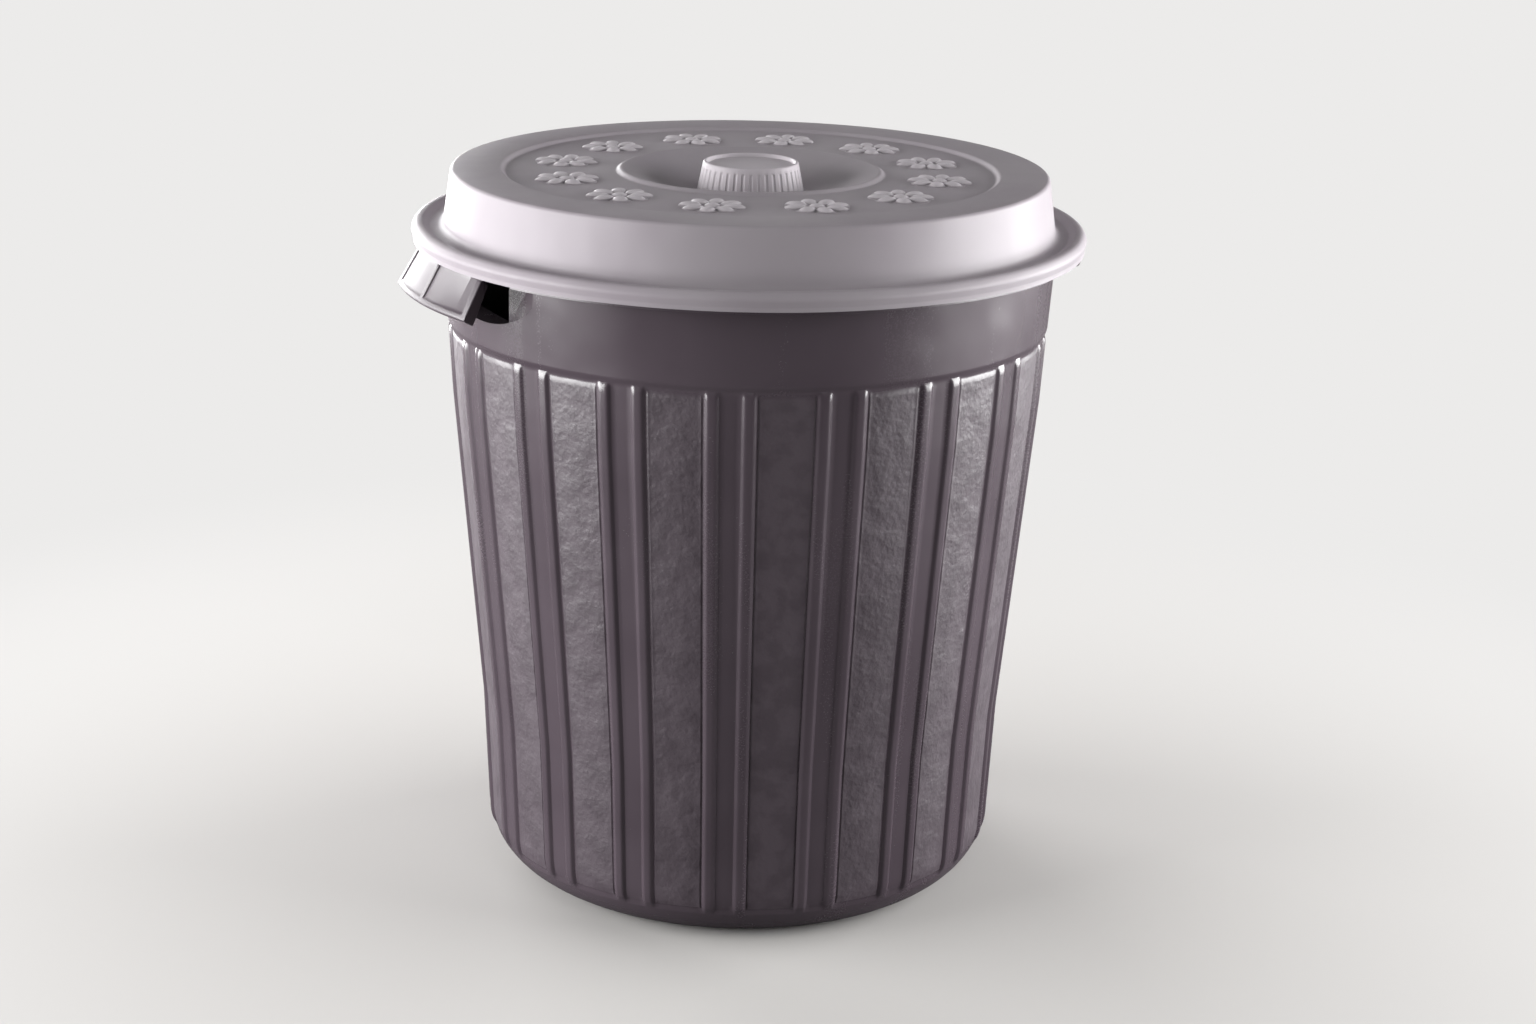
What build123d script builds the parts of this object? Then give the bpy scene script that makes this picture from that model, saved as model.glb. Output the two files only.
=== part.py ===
from build123d import *
from math import atan2, cos, degrees, radians, sin, sqrt
import os

os.makedirs("parts", exist_ok=True)

# A round household bucket with two moulded grips, a lift-off lid and a fluted knob.
# Millimetres. The origin is at the middle of the base, on the floor. Z points up,
# and the two grips lie on +X and -X.

# Bucket shell
bucket_height = 425.0
bucket_wall = 2.8
rim_radius = 210.6
lip_depth = 7.8
rim_round = 2.0
collar_top_radius = 196.4
collar_bottom_radius = 193.0
collar_depth = 56.0
ledge_step = 2.0
ledge_depth = 3.0
ledge_round = 4.0
shoulder_radius = 188.6
shoulder_depth = 102.0
knee_radius = 170.5
knee_height = 114.0
base_radius = 165.6
base_round = 36.0
foot_radius = 121.0
foot_rise = 4.0
foot_round = 4.0
band_height = 22.0
band_step = 1.0

# Upright beads, two beside each smooth strip of the wall
strip_count = 18
bead_spread_angle = 3.3
bead_width = 8.6
bead_height = 1.8
bead_round = 1.2
bead_overlap = 1.0

# Grips: flared flaps that hang from the rim
grip_half_angle = 14.0
grip_reach = 14.4
grip_depth = 27.5
grip_wall = 2.8
grip_edge_bead = 2.2
grip_rib_width = 4.2
grip_rib_height = 1.2
cheek_width_top = 5.5
cheek_width_bottom = 9.5
cheek_wall = 3.0
grip_root_share = 0.12

# Hand window behind each grip
window_half_width = 76.0
window_depth = 39.0
window_corner_width = 54.0
window_corner_height = 27.0
hand_hole_half_width = 37.0

# Lid
lid_wall = 2.4
lid_seat_gap = 0.3
lid_rim_gap = 0.8
lid_rise = 36.1
lid_top_radius = 190.0
lid_top_round = 4.0
lid_foot_radius = 195.2
lid_foot_round = 4.0
trough_width = 8.3
crest_height = 2.9
crest_rise_width = 4.5
crest_width = 4.4
crest_round = 3.2
flange_radius = 215.2
bulge_depth = 4.3
neck_depth = 8.8
skirt_depth = 11.5
skirt_bead = 1.2
border_width = 31.5
channel_depth = 2.5
channel_round = 3.0
dish_radius = 82.5
dish_depth = 15.0
dish_rim_width = 3.0
dish_rim_round = 3.2

# Rosettes in the lid's channel
rosette_count = 12
rosette_ring_radius = 121.0
rosette_height = 1.6
rosette_step = 0.6
petal_count = 8
petal_length = 13.0
petal_width = 8.0
petal_ring_radius = 12.2
button_radius = 4.4

# Knob
knob_foot_radius = 34.3
knob_top_radius = 30.2
knob_height = 19.5
knob_wall = 2.4
knob_edge_round = 1.4
knob_recess_radius = 27.4
knob_recess_depth = 2.4
flute_count = 40
flute_radius = 1.7
flute_depth = 0.6
flute_top_gap = 3.6
stem_radius = 7.0
stem_wall = 2.2
stem_fit = 0.3
barb_step = 1.2
barb_length = 6.0
barb_tip_step = 0.8
slot_count = 2
slot_width = 2.4
slot_rise = 5.0
dish_floor_margin = 3.0
cut_overrun = 1.0


def meridian(angle):
    """A plane through the Z axis whose local x points out at this azimuth."""
    turn = radians(angle)
    return Plane(origin=(0, 0, 0), x_dir=(cos(turn), sin(turn), 0), z_dir=(sin(turn), -cos(turn), 0))


def arc_angle(length, radius):
    """The angle, in degrees, that an arc of this length takes at this radius."""
    return degrees(length / radius)


# Levels and radii worked out from the sizes above
rim_under = bucket_height - bucket_wall
lip_bottom = bucket_height - lip_depth
collar_bottom = bucket_height - collar_depth
ledge_bottom = collar_bottom - ledge_depth
panel_top_radius = collar_bottom_radius - ledge_step
shoulder_height = bucket_height - shoulder_depth
panel_slope = (panel_top_radius - shoulder_radius) / (ledge_bottom - shoulder_height)
bead_arc = arc_angle(bead_width, shoulder_radius)
bead_foot = band_height - bead_overlap / 2
bead_top = collar_bottom - ledge_depth / 2
window_sill = bucket_height - window_depth
pocket_face = sqrt(collar_top_radius**2 - window_half_width**2)
lip_inner_radius = rim_radius - bucket_wall
grip_radius = rim_radius + grip_reach
grip_bottom = bucket_height - grip_depth

# The outer line of the bucket's wall, from the middle of the base to the lip
lower_outline = [
    (0, foot_rise),
    (foot_radius - foot_rise, foot_rise),
    (foot_radius, 0),
    (base_radius, 0),
    (knee_radius, knee_height),
    (shoulder_radius, shoulder_height),
]
lower_rounds = [foot_round, foot_round, base_round, 0]
bucket_outline = lower_outline + [
    (panel_top_radius, ledge_bottom),
    (collar_bottom_radius, collar_bottom),
    (collar_top_radius, rim_under),
    (lip_inner_radius, rim_under),
    (lip_inner_radius, lip_bottom),
]
bucket_rounds = lower_rounds + [0, ledge_round, ledge_round, rim_round, rim_round]
bead_outline = lower_outline + [
    (panel_top_radius + panel_slope * ledge_depth, collar_bottom),
]
bead_rounds = lower_rounds + [0]


def wall_reach(height):
    """The radius of the wall's straight outer lines at this height."""
    for (r_low, z_low), (r_high, z_high) in zip(bead_outline[3:], bead_outline[4:]):
        if height <= z_high:
            break
    return r_low + (r_high - r_low) * (height - z_low) / (z_high - z_low)


def stands_proud(edge):
    """True for an edge along the crown of a bead."""
    middle = edge.center()
    return sqrt(middle.X**2 + middle.Y**2) - wall_reach(middle.Z) > bead_height / 3


# One upright bead, from the base band to the ledge under the collar
with BuildPart() as bead:
    with BuildSketch(meridian(-bead_arc / 2)):
        for reach, side in ((bead_height, Side.RIGHT), (bucket_wall / 2, Side.LEFT)):
            with BuildLine():
                FilletPolyline(*bead_outline, radius=bead_rounds)
                offset(amount=reach, side=side)
            make_face()
        with Locations((rim_radius, (bead_foot + bead_top) / 2)):
            Rectangle(rim_radius, bead_top - bead_foot, mode=Mode.INTERSECT)
    revolve(axis=Axis.Z, revolution_arc=bead_arc)
    crown = bead.edges().filter_by(stands_proud)
    fillet(crown.filter_by(lambda edge: edge.center().Z > bead_foot + bead_overlap), radius=bead_round)

# Solid body inside the collar's wall, used to trim the pockets
with BuildPart() as collar_core:
    with BuildSketch(Plane.XZ):
        inset = bucket_wall / 2
        with BuildLine():
            Polyline(
                (0, ledge_bottom),
                (collar_bottom_radius - inset, ledge_bottom),
                (collar_bottom_radius - inset, collar_bottom),
                (collar_top_radius - inset, rim_under),
                (collar_top_radius - inset, bucket_height),
                (0, bucket_height),
                close=True,
            )
        make_face()
    revolve(axis=Axis.Z)


def window_sketch(distance, growth, top):
    """The window's outline at this x: flat sill, elliptical corners, straight sides."""
    half = window_half_width + growth
    sill = window_sill - growth
    corner_width = window_corner_width + growth
    corner_height = window_corner_height + growth
    with BuildSketch(Plane.YZ.offset(distance)) as outline:
        with BuildLine():
            for side in (1, -1):
                center = (side * (half - corner_width), sill + corner_height)
                EllipticalCenterArc(center, corner_width, corner_height, start_angle=-90, arc_size=side * 90)
                Line((side * half, sill + corner_height), (side * half, top))
            Line((-half, top), (half, top))
            Line((corner_width - half, sill), (half - corner_width, sill))
        make_face()
    return outline.sketch


# The flat-backed pocket behind a grip, as the block that carries it
with BuildPart() as pocket_block:
    block_outline = window_sketch(pocket_face - bucket_wall, bucket_wall, bucket_height)
    extrude(block_outline, amount=rim_radius - pocket_face)
    add(collar_core.part, mode=Mode.INTERSECT)

# The hollow of the pocket, open to the outside
with BuildPart() as pocket_hollow:
    extrude(window_sketch(pocket_face, 0, rim_under), amount=rim_radius - pocket_face)
    Cylinder(
        collar_top_radius + bucket_wall, bucket_height + cut_overrun,
        align=(Align.CENTER, Align.CENTER, Align.MIN), mode=Mode.INTERSECT,
    )

# The hole for the fingers, through the flat back of a pocket
with BuildPart() as hand_hole:
    with BuildSketch(Plane.YZ.offset(pocket_face - 2 * bucket_wall)):
        with Locations((0, (window_sill + rim_under) / 2)):
            Rectangle(2 * hand_hole_half_width, rim_under - window_sill)
    extrude(amount=3 * bucket_wall)

# The grip: a flap with a bead on its edge, a middle rib, two edge ribs and two side cheeks
flap_top = (rim_radius - grip_wall / 2, lip_bottom)
flap_end = (grip_radius - grip_wall / 2, grip_bottom)
flare = atan2(flap_end[0] - flap_top[0], flap_top[1] - flap_end[1])
flap_length = (flap_top[1] - flap_end[1]) / cos(flare)
cheek_end_share = 1 + grip_edge_bead / flap_length


def along_flap(share, inward):
    """A point this far down the flap's middle line, moved inward across it."""
    r = flap_top[0] + (flap_end[0] - flap_top[0]) * share - inward * cos(flare)
    z = flap_top[1] + (flap_end[1] - flap_top[1]) * share - inward * sin(flare)
    return (r, z)


def flap_sketch(angle):
    """The flap's section at this azimuth."""
    with BuildSketch(meridian(angle)) as section:
        with BuildLine():
            Line(along_flap(-grip_root_share, 0), flap_end)
            offset(amount=grip_wall / 2, side=Side.BOTH)
        make_face()
        with Locations(flap_end):
            Circle(grip_edge_bead)
    return section.sketch


def band_sketch(angle, end_share, reach_top, reach_bottom):
    """A four-sided section on the flap's middle line, reaching inward or, below zero, outward."""
    with BuildSketch(meridian(angle)) as section:
        with BuildLine():
            Polyline(
                along_flap(0, 0), along_flap(end_share, 0),
                along_flap(end_share, reach_bottom), along_flap(0, reach_top),
                close=True,
            )
        make_face()
    return section.sketch


grip_turn = 2 * grip_half_angle
rib_turn = arc_angle(grip_rib_width, grip_radius)
cheek_turn = arc_angle(cheek_wall, grip_radius)
rib_reach = -grip_wall / 2 - grip_rib_height
with BuildPart() as grip:
    revolve(flap_sketch(-grip_turn / 2), axis=Axis.Z, revolution_arc=grip_turn)
    revolve(band_sketch(-rib_turn / 2, 1, rib_reach, rib_reach), axis=Axis.Z, revolution_arc=rib_turn)
    cheek_reach_top = cheek_width_top - grip_wall / 2
    cheek_reach_bottom = cheek_width_bottom - grip_wall / 2
    for start in (-grip_turn / 2, grip_turn / 2 - cheek_turn):
        revolve(band_sketch(start, 1, rib_reach, rib_reach), axis=Axis.Z, revolution_arc=cheek_turn)
        cheek = band_sketch(start, cheek_end_share, cheek_reach_top, cheek_reach_bottom)
        revolve(cheek, axis=Axis.Z, revolution_arc=cheek_turn)

# The bucket: revolved shell with base band, pockets with hand holes, two grips, and the beads
with BuildPart() as bucket:
    with BuildSketch(Plane.XZ):
        with BuildLine():
            FilletPolyline(*bucket_outline, radius=bucket_rounds)
            offset(amount=bucket_wall, side=Side.LEFT)
        make_face()
    revolve(axis=Axis.Z)
    with BuildSketch(Plane.XZ):
        for reach, side in ((band_step, Side.RIGHT), (bucket_wall / 2, Side.LEFT)):
            with BuildLine():
                FilletPolyline(*bead_outline, radius=bead_rounds)
                offset(amount=reach, side=side)
            make_face()
        with Locations((rim_radius, band_height / 2)):
            Rectangle(2 * (rim_radius - foot_radius), band_height, mode=Mode.INTERSECT)
    revolve(axis=Axis.Z)
    for turn in (0, 180):
        add(grip.part, rotation=(0, 0, turn))
        add(pocket_block.part, rotation=(0, 0, turn))
        add(pocket_hollow.part, rotation=(0, 0, turn), mode=Mode.SUBTRACT)
        add(hand_hole.part, rotation=(0, 0, turn), mode=Mode.SUBTRACT)
    bead_turns = []
    for strip in range(strip_count):
        for side in (1, -1):
            bead_turns.append(Rotation(0, 0, strip * 360 / strip_count + side * bead_spread_angle))
    add([turn * bead.part for turn in bead_turns])
bucket.part.label = "bucket"
export_step(bucket.part, "parts/bucket.step")

# Levels of the lid, which rests on the bucket's rim
trough_level = bucket_height + lid_seat_gap + lid_wall
crest_level = trough_level + crest_height
border_level = trough_level + lid_rise
dish_floor = border_level - dish_depth
channel_floor = border_level - channel_depth
neck_radius = rim_radius + lid_rim_gap + lid_wall
trough_outer_radius = lid_foot_radius + trough_width
crest_inner_radius = trough_outer_radius + crest_rise_width
channel_outer_radius = lid_top_radius - border_width - channel_depth
channel_inner_radius = dish_radius + dish_rim_width
stem_hole_radius = stem_radius + stem_fit

# The lid: one even wall, from the knob's hole out to the edge of the skirt
lid_outline = [
    (stem_hole_radius, dish_floor),
    (knob_foot_radius + dish_floor_margin, dish_floor),
    (dish_radius, border_level),
    (channel_inner_radius, channel_floor),
    (channel_outer_radius, channel_floor),
    (channel_outer_radius + channel_depth, border_level),
    (lid_top_radius, border_level),
    (lid_foot_radius, trough_level),
    (trough_outer_radius, trough_level),
    (crest_inner_radius, crest_level),
    (crest_inner_radius + crest_width, crest_level),
    (flange_radius, crest_level - bulge_depth),
    (neck_radius, crest_level - neck_depth),
    (neck_radius, crest_level - skirt_depth),
]
lid_rounds = [
    channel_round, dish_rim_round, channel_round, channel_round, channel_round,
    lid_top_round, lid_foot_round, crest_round, crest_round, crest_round, crest_round, crest_round,
]
with BuildPart() as lid:
    with BuildSketch(Plane.XZ):
        with BuildLine():
            FilletPolyline(*lid_outline, radius=lid_rounds)
            offset(amount=lid_wall, side=Side.RIGHT)
        make_face()
        with Locations((neck_radius - skirt_bead / 4, crest_level - skirt_depth + skirt_bead)):
            Circle(skirt_bead)
    revolve(axis=Axis.Z)
    for shrink, rise in ((0, rosette_height - rosette_step), (rosette_step, rosette_height)):
        with BuildSketch(Plane.XY.offset(channel_floor - lid_wall / 2)):
            with PolarLocations(rosette_ring_radius, rosette_count):
                Circle(button_radius - shrink)
                with PolarLocations(petal_ring_radius, petal_count):
                    Ellipse(petal_length / 2 - shrink, petal_width / 2 - shrink)
        extrude(amount=rise + lid_wall / 2)
lid.part.label = "lid"
export_step(lid.part, "parts/lid.step")

# The knob: a hollow fluted cap on a split stem that snaps through the lid
knob_top = dish_floor + knob_height
barb_level = dish_floor - lid_wall - lid_seat_gap
knob_outline = [
    (knob_foot_radius, dish_floor),
    (knob_top_radius, knob_top),
    (knob_recess_radius + knob_recess_depth / 2, knob_top),
    (knob_recess_radius, knob_top - knob_recess_depth),
    (0, knob_top - knob_recess_depth),
]
knob_rounds = [knob_edge_round, 0, 0]
stem_top = knob_top - knob_recess_depth - knob_wall / 2
stem_tip = barb_level - barb_length
flute_lean = (knob_top_radius - knob_foot_radius) / knob_height
flute_start = knob_foot_radius + flute_radius - flute_depth - flute_lean * cut_overrun
with BuildPart() as flute:
    with BuildSketch(Plane((flute_start, 0, dish_floor - cut_overrun), (0, 1, 0), (flute_lean, 0, 1))):
        Circle(flute_radius)
    extrude(amount=knob_height - flute_top_gap + cut_overrun)
with BuildPart() as lid_knob:
    with BuildSketch(Plane.XZ):
        with BuildLine():
            FilletPolyline(*knob_outline, radius=knob_rounds)
            Polyline(
                knob_outline[-1],
                (0, knob_top - knob_recess_depth - knob_wall),
                (knob_recess_radius - knob_wall / 2, knob_top - knob_recess_depth - knob_wall),
                (knob_foot_radius - knob_wall, dish_floor),
                knob_outline[0],
            )
        make_face()
        with BuildLine():
            Polyline(
                (stem_radius - stem_wall, stem_top), (stem_radius, stem_top),
                (stem_radius, barb_level), (stem_radius + barb_step, barb_level),
                (stem_radius - barb_tip_step, stem_tip), (stem_radius - stem_wall, stem_tip),
                close=True,
            )
        make_face()
    revolve(axis=Axis.Z)
    for turn in range(slot_count):
        with BuildSketch(Plane.XY.offset(stem_tip)):
            Rectangle(2 * (stem_radius + barb_step), slot_width, rotation=turn * 180 / slot_count)
        extrude(amount=dish_floor + slot_rise - stem_tip, mode=Mode.SUBTRACT)
    flute_turns = [Rotation(0, 0, count * 360 / flute_count) for count in range(flute_count)]
    add([turn * flute.part for turn in flute_turns], mode=Mode.SUBTRACT)
lid_knob.part.label = "lid_knob"
export_step(lid_knob.part, "parts/lid_knob.step")
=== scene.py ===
# Round household bucket with two flap grips, a lift-off lid and a fluted knob.
# Metres, +Z up, the origin at the middle of the base; the grips lie on +X and -X.
import math

import bmesh
import bpy
from mathutils import Matrix, Vector


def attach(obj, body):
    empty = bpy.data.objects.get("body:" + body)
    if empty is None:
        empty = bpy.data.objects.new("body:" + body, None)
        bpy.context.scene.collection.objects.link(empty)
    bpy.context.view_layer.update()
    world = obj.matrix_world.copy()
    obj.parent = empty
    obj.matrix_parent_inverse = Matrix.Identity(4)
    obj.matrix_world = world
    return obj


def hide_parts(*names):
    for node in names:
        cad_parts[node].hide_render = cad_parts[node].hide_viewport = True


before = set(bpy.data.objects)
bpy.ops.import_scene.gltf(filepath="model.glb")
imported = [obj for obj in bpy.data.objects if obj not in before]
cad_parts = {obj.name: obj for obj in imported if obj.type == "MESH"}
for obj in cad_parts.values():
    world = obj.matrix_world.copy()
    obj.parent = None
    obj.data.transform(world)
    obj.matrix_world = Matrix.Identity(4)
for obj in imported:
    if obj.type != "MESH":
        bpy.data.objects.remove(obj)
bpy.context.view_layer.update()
print("frame loaded")

axisZ = Vector((0, 0, 1))
finePoint = 1e-6  # points closer than this are one
onWall = 0.00005  # how far off the wall's line a point of the wall may lie
wideRounding = 0.02  # arcs wider than this take the finer steps
wideStep, smallStep = math.radians(7.5), math.radians(16)  # the turn that one segment of an arc takes
creaseAngle = math.radians(32)  # faces that meet at more than this keep a hard edge
softAngle, softSegments = math.radians(60), 3  # the edges that softenEdges rounds, and how finely


# Lines, spins and booleans

def addLine(bm, corners):
    # corners are (distance from the axis, height, rounding); each rounding is a true arc
    verts = [bm.verts.new((r, 0, z)) for r, z, _ in corners]
    for pair in zip(verts, verts[1:]):
        bm.edges.new(pair)
    places = [vert.co.copy() for vert in verts]
    for i in range(1, len(corners) - 1):
        rounding = corners[i][2]
        turn = (places[i] - places[i - 1]).angle(places[i + 1] - places[i])
        if rounding > 0 and turn > 0:
            stepTurn = wideStep if rounding > wideRounding else smallStep
            bmesh.ops.bevel(
                bm, geom=[verts[i]], offset=rounding * math.tan(turn / 2), offset_type="OFFSET",
                segments=max(2, round(turn / stepTurn)), profile=0.5, affect="VERTICES", material=-1,
            )


def cutLine(bm, level):
    # a new point wherever the line passes this height
    bmesh.ops.bisect_plane(
        bm, geom=bm.verts[:] + bm.edges[:], dist=finePoint, plane_co=(0, 0, level), plane_no=axisZ,
    )


def otherSide(corners, wall):
    # the same line moved square to itself by the wall: left for a plus value, right for a minus one
    moved = []
    for i, (r, z, rounding) in enumerate(corners):
        here = Vector((r, z))
        before = (here - Vector(corners[i - 1][:2])).normalized() if i else None
        after = (Vector(corners[i + 1][:2]) - here).normalized() if i < len(corners) - 1 else None
        before, after = before or after, after or before
        squareBefore, squareAfter = Vector((-before.y, before.x)), Vector((-after.y, after.x))
        reach = (squareBefore + squareAfter) * wall / (1 + squareBefore.dot(squareAfter))
        bend = before.cross(after)
        inner = rounding - abs(wall) if bend * wall > 0 else rounding + abs(wall)
        moved.append((r + reach.x, z + reach.y, max(inner, 0) if rounding else 0))
    return moved


def spinLine(bm, spans):
    # turns every loose edge of the mesh round Z; spans are (degrees, steps)
    geom = [edge for edge in bm.edges if not edge.link_faces]
    geom += list({vert for edge in geom for vert in edge.verts})
    for degrees, steps in spans:
        geom = spinGeom(bm, geom, degrees, steps)


def spinGeom(bm, geom, degrees, steps):
    # turns edges into faces and faces into a solid; returns what lies at the far end
    return bmesh.ops.spin(
        bm, geom=geom, cent=(0, 0, 0), axis=axisZ, dvec=(0, 0, 0), angle=math.radians(degrees),
        steps=steps, use_merge=False, use_normal_flip=False, use_duplicate=False,
    )["geom_last"]


def turnMesh(bm, degrees, verts=None):
    turn = Matrix.Rotation(math.radians(degrees), 3, "Z")
    bmesh.ops.rotate(bm, verts=verts or bm.verts[:], cent=(0, 0, 0), matrix=turn)


def repeatRound(bm, count):
    # the sector in this mesh, once more at each place round Z
    sector = bpy.data.meshes.new("sector")
    bm.to_mesh(sector)
    for place in range(1, count):
        bm.from_mesh(sector)
        bm.verts.ensure_lookup_table()
        turnMesh(bm, 360 * place / count, bm.verts[-len(sector.vertices):])
    bpy.data.meshes.remove(sector)


def joinMesh(bm, other):
    # adds the other mesh to this one and frees it
    mesh = bpy.data.meshes.new("joined")
    other.to_mesh(mesh)
    other.free()
    bm.from_mesh(mesh)
    bpy.data.meshes.remove(mesh)


def closeMesh(bm):
    bmesh.ops.remove_doubles(bm, verts=bm.verts[:], dist=finePoint)
    bmesh.ops.dissolve_degenerate(bm, dist=finePoint / 10, edges=bm.edges[:])
    bmesh.ops.recalc_face_normals(bm, faces=bm.faces[:])
    print("open edges", sum(edge.is_boundary for edge in bm.edges), "faces", len(bm.faces))


def makeObject(bm, name):
    mesh = bpy.data.meshes.new(name)
    bm.to_mesh(mesh)
    bm.free()
    obj = bpy.data.objects.new(name, mesh)
    bpy.context.scene.collection.objects.link(obj)
    return obj


def carve(obj, tool, operation):
    # the tool is used up by the boolean
    cut = obj.modifiers.new("carve", "BOOLEAN")
    cut.operation = operation
    cut.solver = "EXACT"
    cut.object = tool
    mesh = bpy.data.meshes.new_from_object(obj.evaluated_get(bpy.context.evaluated_depsgraph_get()))
    obj.modifiers.clear()
    obj.data = mesh
    bpy.data.objects.remove(tool, do_unlink=True)


def softenEdges(obj, width):
    bm = bmesh.new()
    bm.from_mesh(obj.data)
    edges = [edge for edge in bm.edges if edge.calc_face_angle(0) > softAngle]
    bmesh.ops.bevel(
        bm, geom=edges, offset=width, offset_type="OFFSET", segments=softSegments, profile=0.5,
        affect="EDGES", clamp_overlap=True, material=-1,
    )
    bmesh.ops.remove_doubles(bm, verts=bm.verts[:], dist=10 * finePoint)
    bm.to_mesh(obj.data)
    bm.free()
    return obj


def shadeSmooth(obj):
    mesh = obj.data
    for face in mesh.polygons:
        face.use_smooth = True
    mesh.set_sharp_from_angle(angle=creaseAngle)


def coneNormals(obj, low, high):
    # the cone's own normals for the faces on it, also for those that a window has cut
    mesh = obj.data
    slope = (high[0] - low[0]) / (high[1] - low[1])
    normals = [(0, 0, 0)] * len(mesh.loops)  # a zero leaves the normal as it is

    def onCone(point):
        off = math.hypot(point.x, point.y) - low[0] - slope * (point.z - low[1])
        return low[1] - onWall < point.z < high[1] + onWall and abs(off) < onWall

    for face in mesh.polygons:
        points = [mesh.vertices[i].co for i in face.vertices]
        if all(onCone(point) for point in points):
            for loop, point in zip(face.loop_indices, points):
                square = Vector((point.x, point.y, -slope * math.hypot(point.x, point.y)))
                normals[loop] = square.normalized()
    mesh.normals_split_custom_set(normals)


def finishPiece(obj, material, body, node):
    obj.data.materials.clear()
    obj.data.materials.append(material)
    shadeSmooth(obj)
    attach(obj, body)
    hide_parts(node)


# Materials

def nodeOf(tree, kind, **values):
    # each value goes to the socket of that name, or else to the node's own setting
    node = tree.nodes.new(kind)
    for name, value in values.items():
        if name in node.inputs:
            node.inputs[name].default_value = value
        else:
            setattr(node, name, value)
    return node


def mathNode(tree, operation, first, second=None, third=None):
    node = tree.nodes.new("ShaderNodeMath")
    node.operation = operation
    for socket, value in zip(node.inputs, (first, second, third)):
        if value is None:
            continue
        if isinstance(value, (int, float)):
            socket.default_value = value
        else:
            tree.links.new(value, socket)
    return node.outputs[0]


def noiseOf(tree, place, scale, detail=2.0, roughness=0.5):
    node = nodeOf(tree, "ShaderNodeTexNoise", Scale=scale, Detail=detail, Roughness=roughness)
    tree.links.new(place, node.inputs["Vector"])
    return node.outputs["Fac"]


def rampOf(tree, value, low, high, outLow=0.0, outHigh=1.0):
    node = tree.nodes.new("ShaderNodeMapRange")
    node.interpolation_type = "SMOOTHSTEP"
    limits = {"From Min": low, "From Max": high, "To Min": outLow, "To Max": outHigh}
    for name, number in limits.items():
        node.inputs[name].default_value = number
    tree.links.new(value, node.inputs["Value"])
    return node.outputs["Result"]


def colorMix(tree, first=None, second=None):
    # a colour mixer with its factor, its two colour sockets and its outcome
    node = tree.nodes.new("ShaderNodeMix")
    node.data_type = "RGBA"
    factor, colors, outcome = node.inputs[0], node.inputs[6:8], node.outputs[2]
    for socket, color in zip(colors, (first, second)):
        if color is not None:
            socket.default_value = color
    return factor, colors, outcome


def srgb(red, green, blue):
    # a colour picker's 0 to 255 as the linear values that Blender takes
    def linear(value):
        value = value / 255
        return value / 12.92 if value <= 0.04045 else ((value + 0.055) / 1.055) ** 2.4
    return (linear(red), linear(green), linear(blue), 1)


plasticLook = {
    "lidColor": srgb(159, 153, 158),
    "lidShade": srgb(151, 144, 150),
    # painted highlight: the paler colour laid on the rosettes' raised tops
    "rosetteHighlightColor": srgb(193, 187, 192),
    # painted highlight: the knob's colours are the lid's plastic made lighter, for the extra light the knob
    # catches
    "knobLitColor": srgb(188, 182, 187),
    "knobLitShade": srgb(180, 173, 179),
    "bucketColor": srgb(78, 69, 76),
    "bucketShade": srgb(69, 60, 67),
    "lidRoughness": 0.46,
    "lidSpecular": 0.3,
    "bucketRoughness": 0.2,
    "bucketSpecular": 0.75,
    "ior": 1.5,
    "roughnessSpread": 0.08,
    "grainRoughness": 0.24,  # added on the panels
    "gripRoughness": 0.22,  # added on the grips
    "cloudScale": 9.0,  # soft clouds in the colour, a hand wide
    "cloudSpan": (0.3, 0.7),
    "speckScale": 900.0,  # fine specks in the gloss
    "speckHeight": 0.00001,
    "rippleScale": 26.0,  # slow waves of a moulded wall
    "rippleHeight": 0.0009,
    "scuffScale": 34.0,  # faint upright scuffs in the gloss
    "scuffStretch": 0.08,
    "scuffDistortion": 0.6,
    "scuffSpan": (0.4, 0.8),
    "scuffRoughness": 0.05,
    "grainScale": 330.0,  # the leather grain of the panels
    "grainHeight": 0.00016,
    "blotchScale": 75.0,  # the uneven patches under the grain
    "blotchHeight": 0.0011,
    "blotchSpan": (0.36, 0.64),
    "mottle": 0.7,
}


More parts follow.
